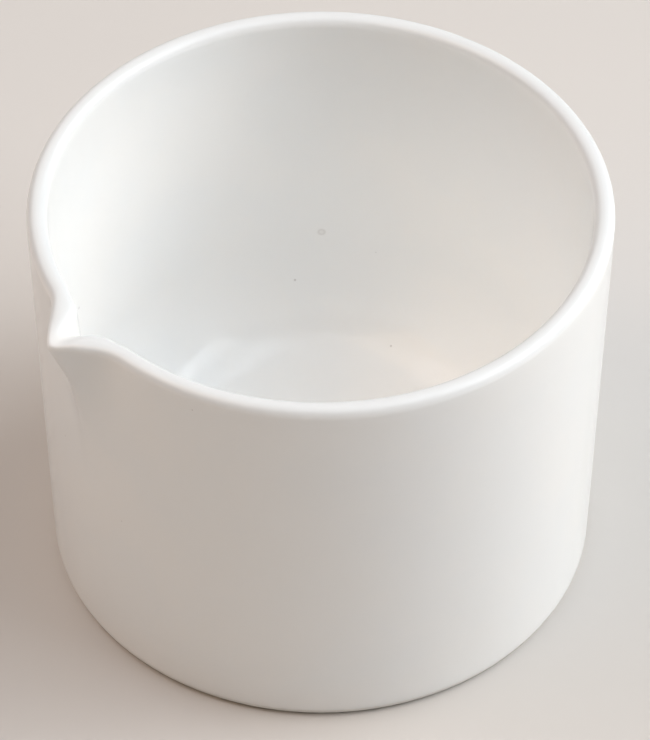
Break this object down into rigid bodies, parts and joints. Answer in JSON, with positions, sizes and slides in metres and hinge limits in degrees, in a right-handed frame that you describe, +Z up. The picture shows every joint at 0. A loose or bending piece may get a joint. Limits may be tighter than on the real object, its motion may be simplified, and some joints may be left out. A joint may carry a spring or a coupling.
{
  "type": "porcelain crucible",
  "caption": "Straight-sided round porcelain crucible with a rounded bowl, a bullnose rim, a small pinched pouring beak and a flat unglazed foot.",
  "frame": {"origin": "centre of the flat base face, on the vessel's own axis", "axes": "+Z up the vessel's axis to the rim; +X the way the pouring beak points"},
  "size_m": [0.074, 0.07, 0.0546],
  "materials": {
    "bisque_porcelain": "matt unglazed fired porcelain",
    "white_glaze": "soft satin-gloss white glaze"
  },
  "bodies": {
    "root": {"porcelain_body": "bisque_porcelain", "glaze_coat": "white_glaze"}
  },
  "joints": []
}
